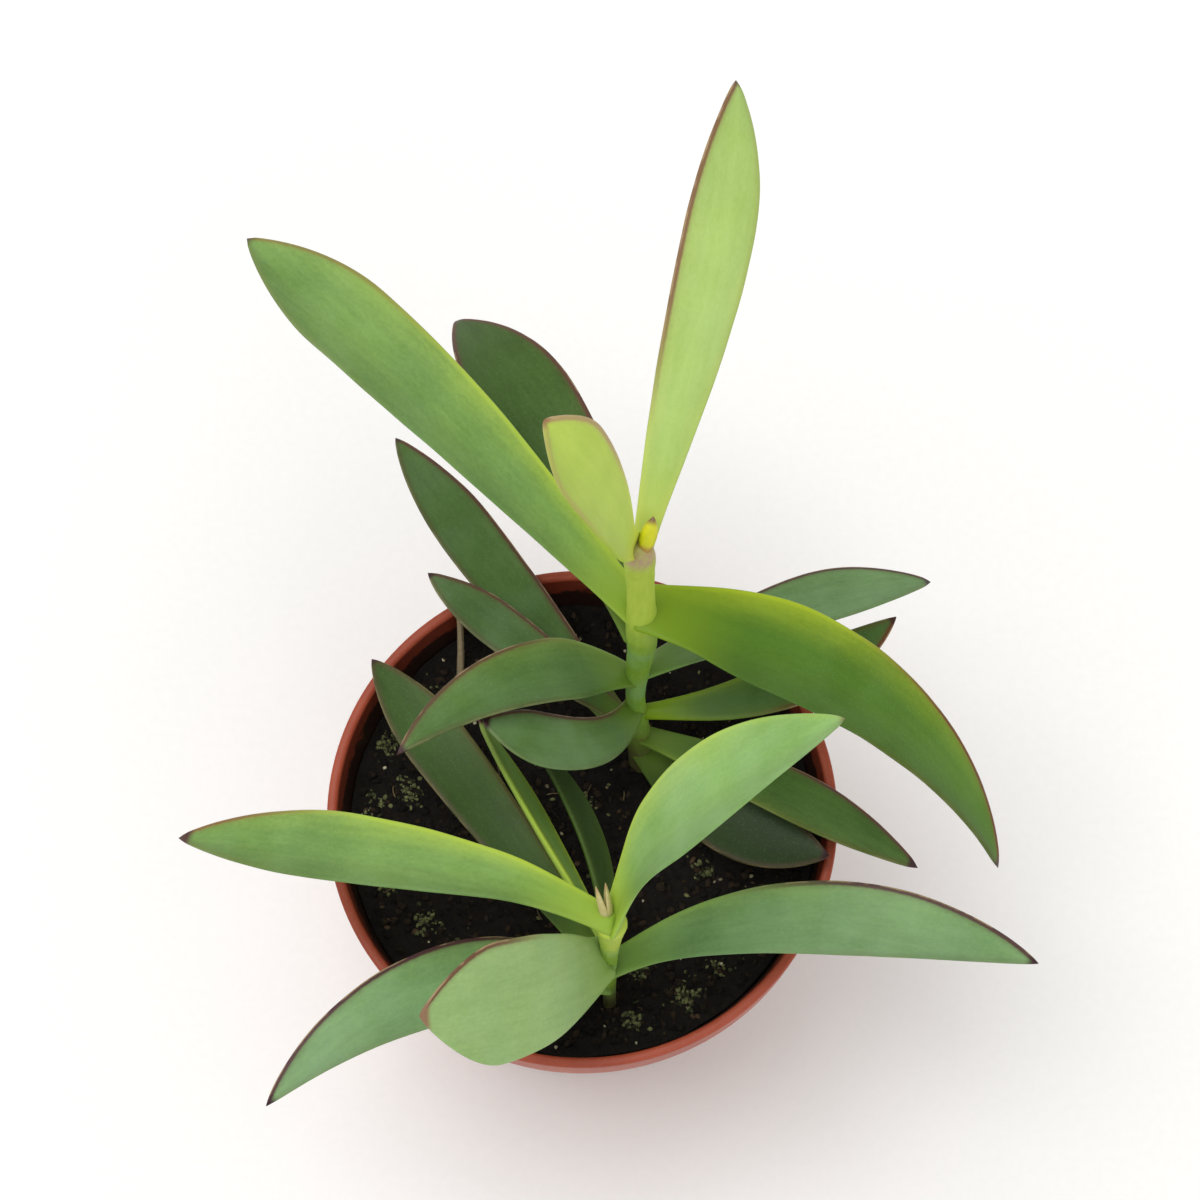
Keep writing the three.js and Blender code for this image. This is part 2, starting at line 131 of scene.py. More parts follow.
# How each leaf is coloured. tone is its row of TONES. Left and right are as one
# looks from its base to its tip. The rims are the dark lines on its margins,
# which begin at the share rim_start of its length. left_band and right_band say
# how strongly each half turns yellow-green towards its margin, partly its own
# colour and partly painted light where that margin faces the light; the other
# half then gets some painted shade. bloom is pale wax, dim is painted
# shade that darkens a leaf lying low under others, and tip is how far from its
# end the dark tip reaches, in millimetres.
Look = namedtuple("Look", "tone left_rim right_rim rim_start left_band right_band bloom dim tip")
LOOKS = {
    "tall_01": Look("young", 0.9, 0.1, 0.3, 0.4, 0.2, 0.1, 0, 1.0),
    "tall_02": Look("lime", 0.3, 0.7, 0.45, 0.1, 0.4, 0, 0, 0.6),
    "tall_03": Look("mature", 0.1, 0.5, 0.6, 0, 0.8, 0.1, 0, 0.7),
    "tall_04": Look("rich", 0.95, 0.15, 0.45, 0.8, 0, 0.05, 0, 1.4),
    "tall_05": Look("old", 0.8, 0.9, 0.1, 0, 0.1, 0, 0.5, 0.8),
    "tall_06": Look("old", 0.2, 0.8, 0.25, 0, 0.5, 0.1, 0.12, 1.2),
    "tall_07": Look("grey", 0.9, 0.1, 0.1, 0.2, 0, 0.15, 0.35, 1.0),
    "tall_08": Look("rich", 0.3, 0.9, 0.4, 0.2, 0.1, 0.1, 0.35, 1.2),
    "tall_09": Look("old", 0.1, 0.9, 0.05, 0, 0.2, 0.2, 0.05, 1.0),
    "tall_10": Look("old", 0.3, 0.8, 0.0, 0, 0.2, 0.15, 0.4, 1.0),
    "tall_11": Look("old", 1, 0.2, 0.35, 0.1, 0.3, 0, 0.15, 1.5),
    "tall_12": Look("old", 0.3, 0.9, 0.1, 0, 0.1, 0.1, 0.2, 1.0),
    "tall_13": Look("old", 0.4, 0.3, 0.3, 0, 0, 0, 1, 1.0),
    "front_01": Look("mature", 0.1, 0.8, 0.65, 0, 0.8, 0.1, 0, 2.2),
    "front_02": Look("fresh", 0.1, 0.1, 0.9, 0.75, 0, 0.25, 0, 0.5),
    "front_03": Look("mature", 0.1, 0.1, 0.8, 0.6, 0.6, 0, 0.1, 0.8),
    "front_04": Look("old", 0.2, 0.2, 0.8, 0.1, 0.1, 0, 0.85, 0.8),
    "front_05": Look("old", 0.3, 0.4, 0.2, 0, 0.2, 0, 0.6, 1.0),
    "front_06": Look("sage", 0, 0.95, 0.5, 0, 0.2, 0.2, 0, 1.2),
    "front_07": Look("grey", 0.95, 0.1, 0.35, 0.5, 0, 0.2, 0.1, 1.4),
    "front_08": Look("grey", 0.1, 1, 0.1, 0, 0.4, 0.25, 0.1, 1.4),
}

# How far the base of a leaf is moved from its plain place on the stem, in
# millimetres along X, Y and Z. The blade follows less and less away from it.
BASE_SHIFTS = {
    "tall_02": (0.2, 1.2, 1.4),
    "tall_04": (0, 0.8, 0.6),
    "tall_07": (0, 0.6, 0.9),
}

# What all blades share: the same bend, hollow and thickness rules as the part's
# source, and here a rounded margin, a sunk base that clasps the stem, and
# slight natural waves. SUNK lists (forward, width) of the rings inside the stem.
BLADE = dict(
    steps=84, across=19, late_bend=1.3, hollow=0.12, base_curve=1.2, tip_curve=0.8,
    half_margin=0.26, upper_crown=0.2, lower_crown=0.72, tip_thinning=0.55, least_half=0.05,
    margin_power=14, wave=0.16, wave_length=11, edge_wander=0.018, clasp_length=6.5, clasp_reach=1.3,
    settle=0.8, shift_length=13,
)
SUNK = ((-1.5, 0.5), (-1.0, 0.74), (-0.5, 0.92))

# Clusters of moss on the soil: (x, y, spread, specks). The middle of a lump is
# 0.5 - SINK of its half height above the soil.
MOSS_PATCHES = (
    (-25.5, 11.5, 0.9, 80), (-22.5, 14.5, 0.7, 45), (-19, 17.5, 0.9, 55), (-27, 3.5, 0.7, 45),
    (-22.5, 5.5, 1.0, 60), (-24.8, -1.5, 0.6, 30), (-20, -12, 0.9, 55), (-16.5, -15.5, 0.8, 45),
    (-25, -7, 0.8, 40), (13, -21.5, 1.0, 90), (7.5, -18.5, 0.6, 40), (6.5, -25, 0.7, 50),
    (1, -20.5, 0.5, 25), (-2.5, -24.5, 0.9, 45), (17, -18, 0.7, 40), (21.5, -12, 0.9, 50),
    (15.5, -5, 0.8, 40), (0, 4, 0.9, 40), (4, -12, 0.8, 35), (-10, 24, 0.9, 40), (24, 3, 0.8, 35),
)
SINK = 0.3

# How far the disc of soil reaches below its top, in millimetres.
SOIL_DEPTH = 6

# The camera stands where the photo's did and looks down by its elevation, in
# degrees. Its place, lens and sensor are in millimetres.
CAMERA = dict(place=(2.25, -108.5, 502.9), elevation=72.9, lens=108, sensor=36)

# The surround, lights and floor, in metres and watts. The floor is just below
# the pot.
WORLD = dict(colour="#f8f8f6", strength=0.66)
LIGHTS = (
    dict(name="key", place=(-0.3, 0.1, 1.3), size=0.8, power=8.6),
    dict(name="fill", place=(0.5, -0.9, 1.0), size=0.9, power=2.5),
)
LIGHT_TARGET = (0, 0, 0.07)
FLOOR = dict(half_side=6.0, drop=0.0003)


def colour(code):
    """A linear RGBA colour from an sRGB hex code."""
    parts = [int(code[i:i + 2], 16) / 255 for i in (1, 3, 5)]
    linear = [c / 12.92 if c <= 0.04045 else ((c + 0.055) / 1.055) ** 2.4 for c in parts]
    return (*linear, 1.0)


class Shade:
    """A material's node tree, with short calls for the nodes that the recipes below use."""

    def __init__(self, name):
        self.material = bpy.data.materials.new(name)
        self.material.use_nodes = True
        self.tree = self.material.node_tree
        self.surface = self.tree.nodes["Principled BSDF"]

    def put(self, socket, value):
        if isinstance(value, bpy.types.NodeSocket):
            self.tree.links.new(value, socket)
        else:
            socket.default_value = value

    def attribute(self, name, output="Fac"):
        node = self.tree.nodes.new("ShaderNodeAttribute")
        node.attribute_name = name
        return node.outputs[output]

    def math(self, operation, a, b):
        node = self.tree.nodes.new("ShaderNodeMath")
        node.operation = operation
        self.put(node.inputs[0], a)
        self.put(node.inputs[1], b)
        return node.outputs[0]

    def times(self, *values):
        product = values[0]
        for value in values[1:]:
            product = self.math("MULTIPLY", product, value)
        return product

    def smooth(self, value, low, high, start=0.0, end=1.0):
        """start where value is low, end where it is high, and smooth between them."""
        node = self.tree.nodes.new("ShaderNodeMapRange")
        node.interpolation_type = "SMOOTHSTEP"
        for index, item in enumerate((value, low, high, start, end)):
            self.put(node.inputs[index], item)
        return node.outputs[0]

    def mix(self, factor, a, b):
        """A mix of colours, which are the node's inputs 6 and 7 and its output 2."""
        node = self.tree.nodes.new("ShaderNodeMix")
        node.data_type = "RGBA"
        self.put(node.inputs["Factor"], factor)
        self.put(node.inputs[6], a)
        self.put(node.inputs[7], b)
        return node.outputs[2]

    def stretch(self, vector, scales):
        node = self.tree.nodes.new("ShaderNodeVectorMath")
        node.operation = "MULTIPLY"
        self.put(node.inputs[0], vector)
        self.put(node.inputs[1], scales)
        return node.outputs[0]

    def place(self):
        """The surface's own place, in millimetres."""
        node = self.tree.nodes.new("ShaderNodeTexCoord")
        return self.stretch(node.outputs["Object"], (1 / MM,) * 3)

    def noise(self, vector, scale, detail=3.0, roughness=0.5):
        node = self.tree.nodes.new("ShaderNodeTexNoise")
        self.put(node.inputs["Vector"], vector)
        self.put(node.inputs["Scale"], scale)
        self.put(node.inputs["Detail"], detail)
        self.put(node.inputs["Roughness"], roughness)
        return node.outputs["Fac"]

    def cells(self, vector, scale):
        """The distance to the nearest cell's middle."""
        node = self.tree.nodes.new("ShaderNodeTexVoronoi")
        self.put(node.inputs["Vector"], vector)
        self.put(node.inputs["Scale"], scale)
        return node.outputs["Distance"]

    def bump(self, height, strength, distance):
        node = self.tree.nodes.new("ShaderNodeBump")
        self.put(node.inputs["Height"], height)
        self.put(node.inputs["Strength"], strength)
        self.put(node.inputs["Distance"], distance)
        self.put(self.surface.inputs["Normal"], node.outputs[0])

    def finish(self, base, roughness, **constants):
        self.put(self.surface.inputs["Base Color"], base)
        self.put(self.surface.inputs["Roughness"], roughness)
        for name, value in constants.items():
            self.surface.inputs[name.replace("_", " ")].default_value = value
        return self.material


# The greens of a leaf by its age: the shaded and lit tone of its middle, the
# paler band inside its margin, partly its own yellow-green and partly painted
# light, its base, its rim and its tip.
Tone = namedtuple("Tone", "deep light band base rim tip")
TONES = {
    "young": Tone("#9cba58", "#b2cc74", "#c4d068", "#bfcc5c", "#7d5540", "#5e4238"),
    "lime": Tone("#b0cc44", "#c4dc58", "#d2dc58", "#cdd650", "#b08468", "#8a6048"),
    "mature": Tone("#5c8236", "#80a350", "#b0c63c", "#98b43a", "#84563c", "#4f302a"),
    "fresh": Tone("#709a42", "#93bc64", "#b6cc40", "#a4c038", "#8a6a4a", "#7a6a48"),
    "rich": Tone("#42680a", "#537a1a", "#a6b81c", "#7e9c14", "#6a3c26", "#45271f"),
    "old": Tone("#3d5c1a", "#587c34", "#839838", "#6e8c30", "#5c3830", "#3a2022"),
    "sage": Tone("#7f9f58", "#a2be76", "#a8b868", "#8cac54", "#6a4434", "#8a6a50"),
    "grey": Tone("#587f44", "#7da262", "#8fae4c", "#7c9c46", "#4e2f30", "#3a2026"),
}
BLOOM = "#a3c49c"
# The green of painted shade, for leaves that lie low under others and for the half of a leaf away from its
# lit margin.
PAINTED_SHADE_GREEN = "#1a2610"
# The pale outer edge of a rim: partly its own beige, partly a painted highlight on the blunt margin.
PALE_EDGE_AND_HIGHLIGHT = "#b39b74"

# How light passes into leaves and stems.
FLESH = dict(Subsurface_Weight=0.12, Subsurface_Radius=(0.6, 1.0, 0.25), Subsurface_Scale=1.0 * MM)


def leaf_material(name, tone, look, length):
    """Waxy green with a fine grain and a dark rim; yellower towards one margin, partly as painted light,
    with painted shade on the other half and on low leaves, and a partly painted highlight on the rim's pale
    edge.
    """
    shade = Shade(f"leaf_{name}")
    along = shade.attribute("along")
    edge = shade.attribute("edge_mm")
    side = shade.attribute("side")
    under = shade.smooth(shade.attribute("face"), 0.3, -0.3)
    blade = shade.attribute("blade", "Vector")
    right_side = shade.smooth(side, -0.05, 0.05)

    broad = shade.noise(blade, 0.1, 2)
    streaks = shade.noise(shade.stretch(blade, (1.2, 0.14, 1)), 1, 3, 0.5)
    grain = shade.noise(shade.stretch(blade, (1, 0.55, 1)), 2.6, 4, 0.65)
    tint = shade.math("ADD", shade.times(broad, 0.42), shade.times(streaks, 0.26))
    tint = shade.math("ADD", tint, shade.times(grain, 0.32))
    body = shade.mix(shade.smooth(tint, 0.25, 0.75), colour(tone.deep), colour(tone.light))
    # Painted shade: a leaf that lies low under others is darkened.
    if look.dim:
        body = shade.mix(look.dim * 0.8, body, colour(PAINTED_SHADE_GREEN))

    # Painted shade: the half away from the lit margin is darkened.
    painted_shade_left = shade.smooth(side, 0.1, -1, 0, 0.4 * look.right_band)
    painted_shade_right = shade.smooth(side, -0.1, 1, 0, 0.4 * look.left_band)
    body = shade.mix(shade.math("ADD", painted_shade_left, painted_shade_right), body, colour(PAINTED_SHADE_GREEN))
    # Yellow-green towards one margin: partly the leaf's own colour, partly painted light on the margin that
    # faces the light.
    left_half = shade.smooth(side, -0.15, -1.1, 0, look.left_band)
    right_half = shade.smooth(side, 0.15, 1.1, 0, look.right_band)
    half = shade.times(shade.math("ADD", left_half, right_half), shade.smooth(tint, 0.35, 0.6, 0.6, 1))
    half = shade.times(half, shade.smooth(along, 0.9, 0.3, 0.2, 0.85))
    body = shade.mix(half, body, colour(tone.band))
    band = shade.smooth(right_side, 0, 1, look.left_band, look.right_band)
    band = shade.times(band, shade.smooth(edge, 0.9, 0.3), shade.smooth(along, 0.95, 0.5, 0.15, 0.85))
    body = shade.mix(band, body, colour(tone.band))
    body = shade.mix(shade.smooth(along, 0.22, 0.0, 0, 0.75), body, colour(tone.base))

    patches = shade.smooth(shade.noise(blade, 0.17, 2), 0.3, 0.7, 0.4, 1)
    dots = shade.smooth(shade.cells(blade, 2.4), 0.28, 0.1, 0, 0.08)
    wax = shade.math("ADD", shade.times(patches, look.bloom), dots)
    wax = shade.times(wax, shade.smooth(along, 0.05, 0.45))
    body = shade.mix(wax, body, colour(BLOOM))
    body = shade.mix(shade.times(under, 0.25), body, colour(tone.light))

    wander = shade.times(shade.math("SUBTRACT", grain, 0.5), 0.22)
    near = shade.math("ADD", edge, wander)
    rim_strength = shade.smooth(right_side, 0, 1, look.left_rim, look.right_rim)
    rim_reach = shade.smooth(along, look.rim_start - 0.12, look.rim_start + 0.25)
    rim_strength = shade.times(rim_strength, rim_reach)
    warm = shade.times(shade.smooth(near, 1.3, 0.4, 0, 0.35), rim_strength)
    body = shade.mix(warm, body, colour(tone.rim))
    line = shade.times(shade.smooth(near, 0.74, 0.4), rim_strength)
    body = shade.mix(line, body, colour(tone.rim))
    # A pale outer edge on the rim: partly its own beige, partly a painted highlight on the blunt margin.
    pale_edge_and_highlight = shade.times(shade.smooth(near, 0.24, 0.12, 0, 0.65), rim_strength)
    pale_edge_and_highlight = shade.times(pale_edge_and_highlight, shade.smooth(shade.noise(blade, 0.3, 2), 0.42, 0.56))
    body = shade.mix(pale_edge_and_highlight, body, colour(PALE_EDGE_AND_HIGHLIGHT))
    tip_start = 1 - look.tip / length
    body = shade.mix(shade.smooth(along, tip_start - 0.01, tip_start + 0.015), body, colour(tone.tip))

    relief = shade.math("ADD", shade.times(streaks, 0.4), shade.times(grain, 0.6))
    shade.bump(relief, 0.2, 0.2 * MM)
    return shade.finish(body, shade.smooth(grain, 0.3, 0.7, 0.44, 0.54), Specular_IOR_Level=0.25, **FLESH)


def stem_material():
    """Yellow-green above, greener and waxy below with a painted sheen on the wax, pinkish at its top and
    brown where leaves fell.
    """
    shade = Shade("stem_skin")
    age = shade.attribute("age")
    scar = shade.attribute("scar")
    blush = shade.attribute("blush")
    place = shade.place()
    streaks = shade.noise(shade.stretch(place, (1.6, 1.6, 0.2)), 1, 4, 0.6)
    mottle = shade.noise(place, 2.2, 4, 0.6)
    young = shade.mix(streaks, colour("#a2bc38"), colour("#c0d258"))
    older = shade.mix(streaks, colour("#64901e"), colour("#90b044"))
    body = shade.mix(shade.smooth(age, 0.22, 0.45), young, older)
    # Pale blue-green wax below: partly a wax bloom, partly a painted sheen.
    wax = shade.smooth(shade.noise(place, 0.16, 2), 0.4, 0.7, 0, 0.4)
    body = shade.mix(shade.times(wax, shade.smooth(age, 0.25, 0.4)), body, colour("#8ab488"))
    woody = shade.mix(mottle, colour("#3c4020"), colour("#6c6a40"))
    body = shade.mix(shade.smooth(age, 0.72, 0.97), body, woody)
    body = shade.mix(shade.times(blush, shade.smooth(mottle, 0.3, 0.6, 0.6, 1)), body, colour("#b09478"))
    body = shade.mix(shade.times(scar, shade.smooth(mottle, 0.35, 0.6)), body, colour("#6b5038"))
    shade.bump(shade.math("ADD", streaks, mottle), 0.3, 0.2 * MM)
    return shade.finish(body, shade.smooth(mottle, 0.3, 0.7, 0.38, 0.55), Specular_IOR_Level=0.3, **FLESH)


def bud_material(name, light, deep, base, tip):
    """Tender yellow or pinkish beige, with a browner base and tip."""
    shade = Shade(name)
    along = shade.attribute("along")
    mottle = shade.noise(shade.place(), 1.6, 3)
    body = shade.mix(mottle, colour(deep), colour(light))
    body = shade.mix(shade.smooth(along, 0.3, 0.12), body, colour(base))
    body = shade.mix(shade.smooth(along, 0.74, 0.95), body, colour(tip))
    shade.bump(mottle, 0.2, 0.1 * MM)
    return shade.finish(
        body, shade.smooth(mottle, 0.3, 0.7, 0.35, 0.5), Subsurface_Weight=0.2,
        Subsurface_Radius=(0.8, 1.0, 0.2), Subsurface_Scale=0.8 * MM,
    )


def pot_material():
    """Thin terracotta-coloured plastic: satin and faintly mottled, with painted shade on its inner wall,
    near black above the soil as dust and painted shade.
    """
    shade = Shade("pot_plastic")
    place = shade.place()
    cloud = shade.noise(place, 0.09, 3)
    grain = shade.noise(place, 2.6, 4, 0.6)
    body = shade.mix(shade.smooth(cloud, 0.3, 0.7), colour("#96402a"), colour("#a84c34"))
    body = shade.mix(shade.times(shade.smooth(grain, 0.5, 0.72), 0.16), body, colour("#c07a5e"))
    # Painted shade on the inner wall.
    body = shade.mix(shade.times(shade.attribute("inside"), 0.65), body, colour("#5e2214"))
    # Near black low on the inner wall above the soil: partly soil dust, partly painted shade.
    dust_and_shade = shade.attribute("dust_and_shade")
    reach = shade.math("ADD", dust_and_shade, shade.times(shade.noise(place, 0.5, 5, 0.65), 0.9))
    dust_and_shade_mask = shade.times(shade.smooth(reach, 0.72, 0.9, 0, 0.92), shade.smooth(dust_and_shade, 0, 0.15))
    body = shade.mix(dust_and_shade_mask, body, colour("#15100b"))
    shade.bump(grain, 0.12, 0.15 * MM)
    return shade.finish(body, shade.smooth(grain, 0.3, 0.7, 0.42, 0.55), Specular_IOR_Level=0.32)


def soil_material(name, dark, light, damp):
    """Peat: near black, with brown grain, a little shiny where it is damp."""
    shade = Shade(name)
    place = shade.place()
    grain = shade.noise(place, 1.4, 6, 0.7)
    tint = shade.math("ADD", shade.times(grain, 0.7), shade.times(shade.attribute("tint"), 0.3))
    body = shade.mix(shade.smooth(tint, 0.4, 0.72), colour(dark), colour(light))
    shade.bump(shade.noise(place, 3.1, 6, 0.75), 0.8, 0.5 * MM)
    rough = shade.smooth(shade.noise(place, 0.7, 3), 0.35, 0.6, 1 - damp, 0.95)
    return shade.finish(body, rough, Specular_IOR_Level=0.3)


def bit_material(name, dark, light, roughness):
    """Small bits in the soil, each a little lighter or darker than the next."""
    shade = Shade(name)
    grain = shade.noise(shade.place(), 3.0, 4, 0.7)
    tint = shade.math("ADD", shade.times(grain, 0.4), shade.times(shade.attribute("tint"), 0.6))
    shade.bump(grain, 0.5, 0.2 * MM)
    return shade.finish(shade.mix(shade.smooth(tint, 0.2, 0.8), colour(dark), colour(light)), roughness)


def floor_material():
    """Pale matte paper with the faintest grain."""
    shade = Shade("studio_floor")
    grain = shade.noise(shade.place(), 0.8, 3)
    body = shade.mix(grain, colour("#f6f6f5"), colour("#fbfbfa"))
    return shade.finish(body, 0.9, Specular_IOR_Level=0.1)


def mesh_object(name, vertices, faces, material, attributes=(), smooth=True):
    """A mesh in millimetres, put in the frame in metres, with named numbers at its vertices."""
    mesh = bpy.data.meshes.new(name)
    mesh.from_pydata((np.asarray(vertices) * MM).tolist(), [], faces)
    for key, values in attributes:
        values = np.asarray(values, np.float32)
        kind = "FLOAT" if values.ndim == 1 else "FLOAT_VECTOR"
        data = mesh.attributes.new(key, kind, "POINT").data
        data.foreach_set("value" if kind == "FLOAT" else "vector", values.ravel())
    shell = bmesh.new()
    shell.from_mesh(mesh)
    bmesh.ops.recalc_face_normals(shell, faces=shell.faces)
    shell.to_mesh(mesh)
    shell.free()
    mesh.polygons.foreach_set("use_smooth", [smooth] * len(mesh.polygons))
    mesh.materials.append(material)
    piece = bpy.data.objects.new(name, mesh)
    bpy.context.scene.collection.objects.link(piece)
    return piece


def ring_faces(rings, count, first=0):
    """Quads between neighbouring rings of count points, and a face on each end."""
    faces = []
    for i in range(rings - 1):
        for j in range(count):
            a = first + i * count + j
            b = first + i * count + (j + 1) % count
            faces.append((a, b, b + count, a + count))
    last = first + (rings - 1) * count
    faces.append(tuple(first + j for j in reversed(range(count))))
    faces.append(tuple(last + j for j in range(count)))
    return faces


def dress(piece, slot, *nodes):
    """The piece rides on the body and stands for CAD nodes, which it hides; slot is not used."""
    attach(piece, BODY)
    if nodes:
        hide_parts(*nodes)
    return piece


def turned(vector, axis, angle):
    """vector turned about a unit axis."""
    side = np.cross(axis, vector) * math.sin(angle)
    return vector * math.cos(angle) + side + axis * np.dot(axis, vector) * (1 - math.cos(angle))


def drift(seed, value):
    """Smooth noise of one number, from about -1 to 1."""
    return noise.noise(Vector((value, seed * 7.31, seed * 3.17)))


def shoot_axes(shoot):
    """The directions along a stem and the two across it."""
    way = np.array([
        -math.tan(math.radians(shoot["lean_left"])), math.tan(math.radians(shoot["lean_back"])), 1,
    ])
    way /= np.linalg.norm(way)
    across = np.array([1.0, 0, 0]) - way * way[0]
    across /= np.linalg.norm(across)
    return way, across, np.cross(way, across)


class SmoothCurve:
    """A smooth curve through points whose heights rise, without overshoot."""

    def __init__(self, heights, values):
        self.heights = np.array(heights, float)
        self.values = np.array(values, float)
        steps = np.diff(self.heights)
        slopes = np.diff(self.values) / steps
        inner = np.where(slopes[:-1] * slopes[1:] > 0, 0.5 * (slopes[:-1] + slopes[1:]), 0)
        self.slopes = np.concatenate([[0], inner, [slopes[-1]]])

    def at(self, height):
        i = int(np.clip(np.searchsorted(self.heights, height) - 1, 0, len(self.heights) - 2))
        step = self.heights[i + 1] - self.heights[i]
        t = (height - self.heights[i]) / step
        low = self.values[i] * (1 + 2 * t) * (1 - t) ** 2 + self.slopes[i] * step * t * (1 - t) ** 2
        high = self.values[i + 1] * t * t * (3 - 2 * t) + self.slopes[i + 1] * step * t * t * (t - 1)
        return low + high


def shoot_point(shoot, up):
    return np.array([*shoot["foot"], SOIL["top"]]) + shoot_axes(shoot)[0] * up


def stem_girth(name):
    """The radius of a stem's skin at each height."""
    return SmoothCurve(*zip(*SKINS[name]["girth"]))


def stem_bow(name, up):
    """How far a stem's middle is bent from its straight axis at a height."""
    heights, right, back = zip(*SKINS[name]["bow"])
    return np.array([SmoothCurve(heights, right).at(up), SmoothCurve(heights, back).at(up), 0])


def stem_radius(shoot, up):
    """The part's own stem tapers upwards and swells a little at each node."""
    share = min(max(up / shoot["length"], 0), 1)
    radius = shoot["low_radius"] + (shoot["top_radius"] - shoot["low_radius"]) * share
    for node in shoot["nodes"]:
        radius += STEM["swell"] * math.exp(-(((up - node) / STEM["swell_reach"]) ** 2))
    return radius


def outline(leaf, share):
    """Half the width of a leaf at a share of its length, as a part of the widest."""
    if share < leaf.widest:
        rise = math.sin(math.pi / 2 * share / leaf.widest) ** BLADE["base_curve"]
        return leaf.base + (1 - leaf.base) * rise
    fall = (share - leaf.widest) / (1 - leaf.widest)
    return max(math.cos(math.pi / 2 * fall), 0) ** BLADE["tip_curve"]


def away_from_stem(leaf):
    """The level direction in which a leaf leaves its stem."""
    heading = math.radians(leaf.heading)
    return np.array([math.cos(heading), math.sin(heading), 0])


def march(leaf, start):
    """The middle line of a leaf, and at each step its directions forward, right and up."""
    heading = math.radians(leaf.heading)
    rise = math.radians(leaf.rise)
    forward = away_from_stem(leaf) * math.cos(rise) + np.array([0, 0, math.sin(rise)])
    right = np.array([math.sin(heading), -math.cos(heading), 0])
    upper = np.cross(right, forward)
    roll = math.radians(leaf.roll)
    right = turned(right, forward, roll)
    upper = turned(upper, forward, roll)
    point = np.array(start, float)
    steps = BLADE["steps"]
    stations = [(0.0, point, forward, right, upper)]
    for i in range(1, steps + 1):
        before = (i - 1) / steps
        share = i / steps
        droop = math.radians(leaf.droop) * (share ** BLADE["late_bend"] - before ** BLADE["late_bend"])
        forward = turned(forward, right, -droop)
        upper = turned(upper, right, -droop)
        sickle = math.radians(leaf.sickle) / steps
        forward = turned(forward, upper, -sickle)
        right = turned(right, upper, -sickle)
        twist = math.radians(leaf.twist) / steps
        right = turned(right, forward, twist)
        upper = turned(upper, forward, twist)
        point = point + forward * leaf.length / steps
        stations.append((share, point, forward, right, upper))
    return stations


def blade_mesh(name, leaf, start, material, seed, fullness=1.0, sunk=SUNK, girth=0.0, shift=(0, 0, 0)):
    """A fleshy leaf: flat above, rounded below, with a blunt margin and a base sunk in the stem.

    Where girth, the stem's radius, is given, the margins of the base clasp the
    stem. shift moves the base, in millimetres.
    """
    stations = march(leaf, start)
    away = away_from_stem(leaf)
    reach = BLADE["clasp_reach"] * girth
    share, point, forward, right, upper = stations[0]
    roots = [(share, point + forward * back, forward, right, upper, narrow) for back, narrow in sunk]
    rows = roots + [(*station, 1.0) for station in stations]
    count = BLADE["across"]
    u_upper = [math.sin(math.pi * (i / (count - 1) - 0.5)) for i in range(count)]
    ring = [(u, 1) for u in u_upper] + [(u, -1) for u in reversed(u_upper[1:-1])]
    points, along, edges, sides, faces_up, blade = [], [], [], [], [], []
    for share, point, forward, right, upper, narrow in rows:
        wide = 0.5 * leaf.width
        half = max(wide * outline(leaf, share) * narrow, BLADE["least_half"])
        full = (half / wide) ** 0.5 * (1 - BLADE["tip_thinning"] * share) * fullness
        thin = min(1.0, half / (3 * BLADE["half_margin"])) * fullness
        travel = share * leaf.length
        wave = BLADE["wave"] * min(1, 4 * share) * drift(seed, travel / BLADE["wave_length"])
        clasp = max(0, 1 - travel / BLADE["clasp_length"]) ** 2
        centre = point + np.array(shift) * max(0, 1 - travel / BLADE["shift_length"]) ** 2
        for u, face in ring:
            wander = 1 + BLADE["edge_wander"] * drift(seed + (5 if u > 0 else 9), travel / 6) * abs(u)
            rounding = (1 - abs(u) ** BLADE["margin_power"]) ** 0.5
            crown = BLADE["upper_crown"] if face > 0 else BLADE["lower_crown"]
            lift = face * (BLADE["half_margin"] * thin * rounding + crown * full * (1 - u * u))
            lift += BLADE["hollow"] * half * u * u + wave
            spot = centre + right * u * half * wander + upper * lift
            if girth:
                spot -= away * clasp * reach * math.tanh((u * half) ** 2 / (2 * girth * reach))
                spot[2] -= clasp * BLADE["settle"] * u * u
            points.append(spot)
            along.append(share)
            edges.append(half * (1 - abs(u)))
            sides.append(u)
            faces_up.append(face * rounding)
            blade.append((u * half, travel, seed * 11.0))
    attributes = (
        ("along", along), ("edge_mm", edges), ("side", sides), ("face", faces_up), ("blade", blade),
    )
    return mesh_object(name, points, ring_faces(len(rows), len(ring)), material, attributes)


def make_leaf(index, name):
    leaf = LEAVES[name]
    shoot = SHOOTS[leaf.shoot]
    root = STEM["root_share"] * stem_radius(shoot, leaf.up)
    start = shoot_point(shoot, leaf.up) + away_from_stem(leaf) * root
    look = LOOKS[name]
    material = leaf_material(name, TONES[look.tone], look, leaf.length)
    piece = blade_mesh(
        f"blade_{name}", leaf, start, material, index + 1,
        girth=max(1.0, stem_girth(leaf.shoot).at(leaf.up)),
        shift=stem_bow(leaf.shoot, leaf.up) + np.array(BASE_SHIFTS.get(name, (0, 0, 0))),
    )
    dress(piece, f"leaf_{leaf.tone}", f"leaf_{name}")


